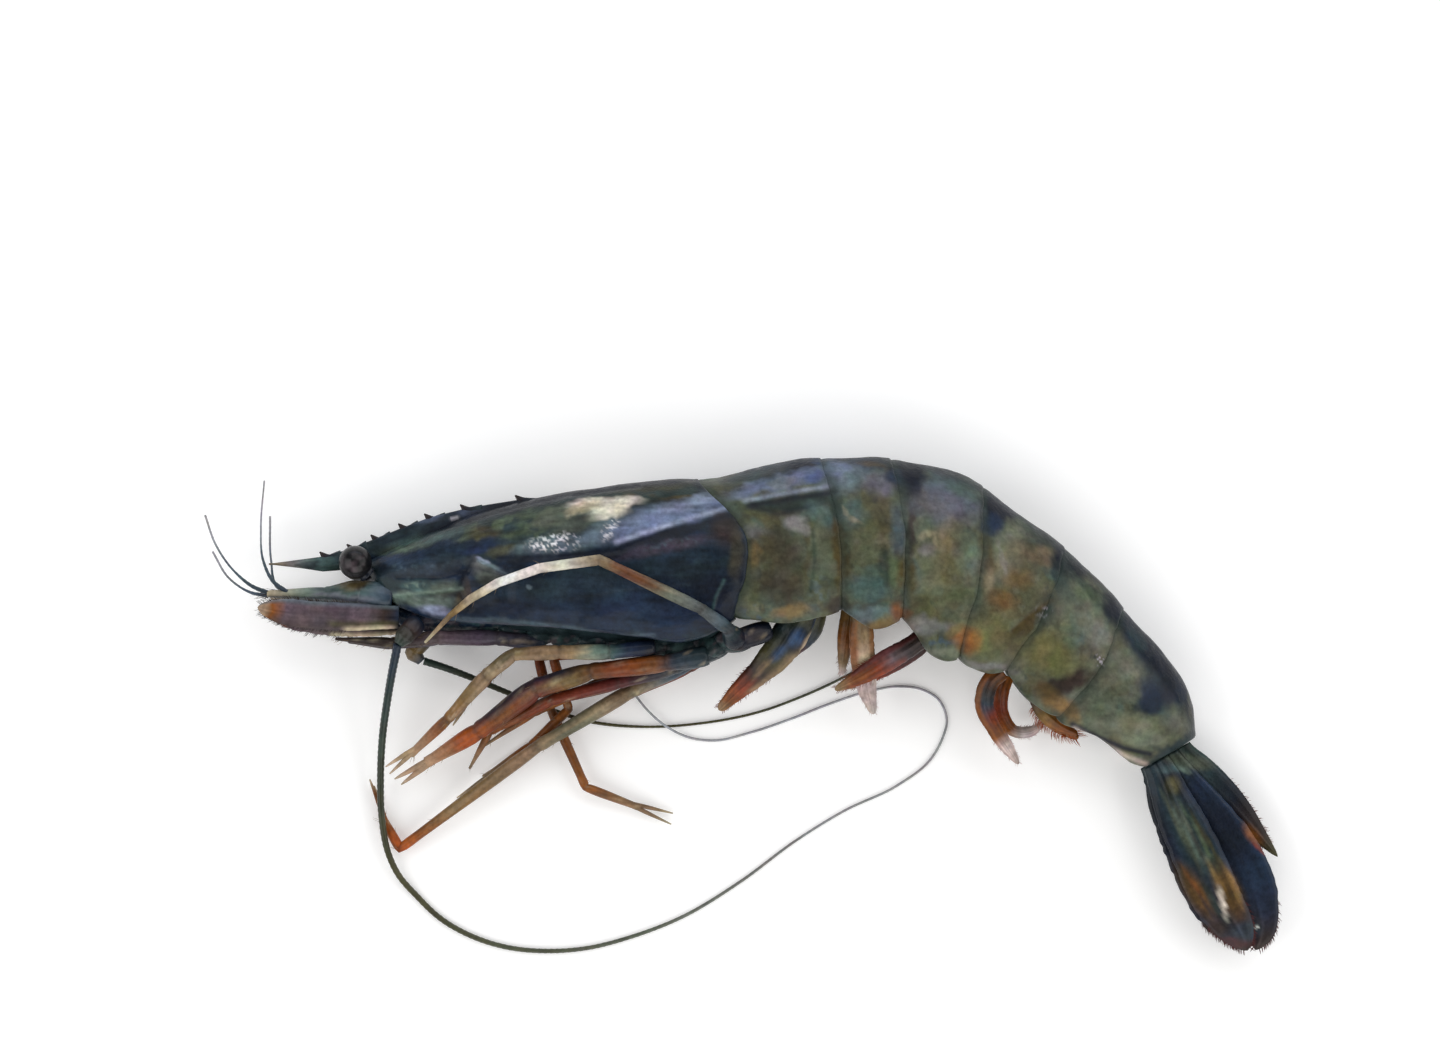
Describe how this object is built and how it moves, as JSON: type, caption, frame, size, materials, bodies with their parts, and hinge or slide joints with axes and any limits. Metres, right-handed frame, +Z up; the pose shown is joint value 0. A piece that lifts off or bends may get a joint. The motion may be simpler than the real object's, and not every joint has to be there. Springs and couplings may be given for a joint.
{
  "type": "raw tiger prawn",
  "caption": "Whole raw tiger prawn lying on its side, with dark banded shell, toothed beak, long feelers, walking legs, swimming limbs and a tail fan.",
  "frame": {"origin": "under the middle of the bounding box, on the surface that the prawn lies on", "axes": "+X from the head towards the tail, +Y towards the back of the prawn, +Z up, out of its left flank"},
  "size_m": [0.1938, 0.0901, 0.0263],
  "materials": {
    "head_shell": "wet, glossy, blue-black shell with olive mottling",
    "body_shell": "wet, glossy, slightly see-through olive-grey shell with dark bands",
    "eye": "glossy black-brown",
    "leg": "wet tan to orange-red shell",
    "swimmer": "wet, thin, navy to orange-red",
    "tail": "wet navy-black shell with olive ridges",
    "feeler": "satin dark olive-grey"
  },
  "bodies": {
    "root": {"carapace": "head_shell", "abdomen_1": "body_shell", "abdomen_2": "body_shell", "abdomen_3": "body_shell", "abdomen_4": "body_shell", "abdomen_5": "body_shell", "abdomen_6": "body_shell", "eye_left": "eye", "eye_right": "eye", "leg_1_left": "leg", "leg_2_left": "leg", "leg_3_left": "leg", "leg_4_left": "leg", "leg_5_left": "leg", "leg_1_right": "leg", "leg_2_right": "leg", "leg_3_right": "leg", "leg_4_right": "leg", "leg_5_right": "leg", "mouth_limb_left": "leg", "mouth_limb_right": "leg", "antennule_left": "feeler", "antennule_right": "feeler", "antenna_left": "feeler", "antenna_right": "feeler", "swimmer_1_left": "swimmer", "swimmer_1_right": "swimmer", "swimmer_2_left": "swimmer", "swimmer_2_right": "swimmer", "swimmer_3_left": "swimmer", "swimmer_3_right": "swimmer", "swimmer_4_left": "swimmer", "swimmer_4_right": "swimmer", "swimmer_5_left": "swimmer", "swimmer_5_right": "swimmer", "antennal_scale_left": "head_shell", "antennal_scale_right": "head_shell", "telson": "tail", "tail_fan_outer_left": "tail", "tail_fan_inner_left": "tail", "tail_fan_inner_right": "tail", "tail_fan_outer_right": "tail"}
  },
  "joints": []
}
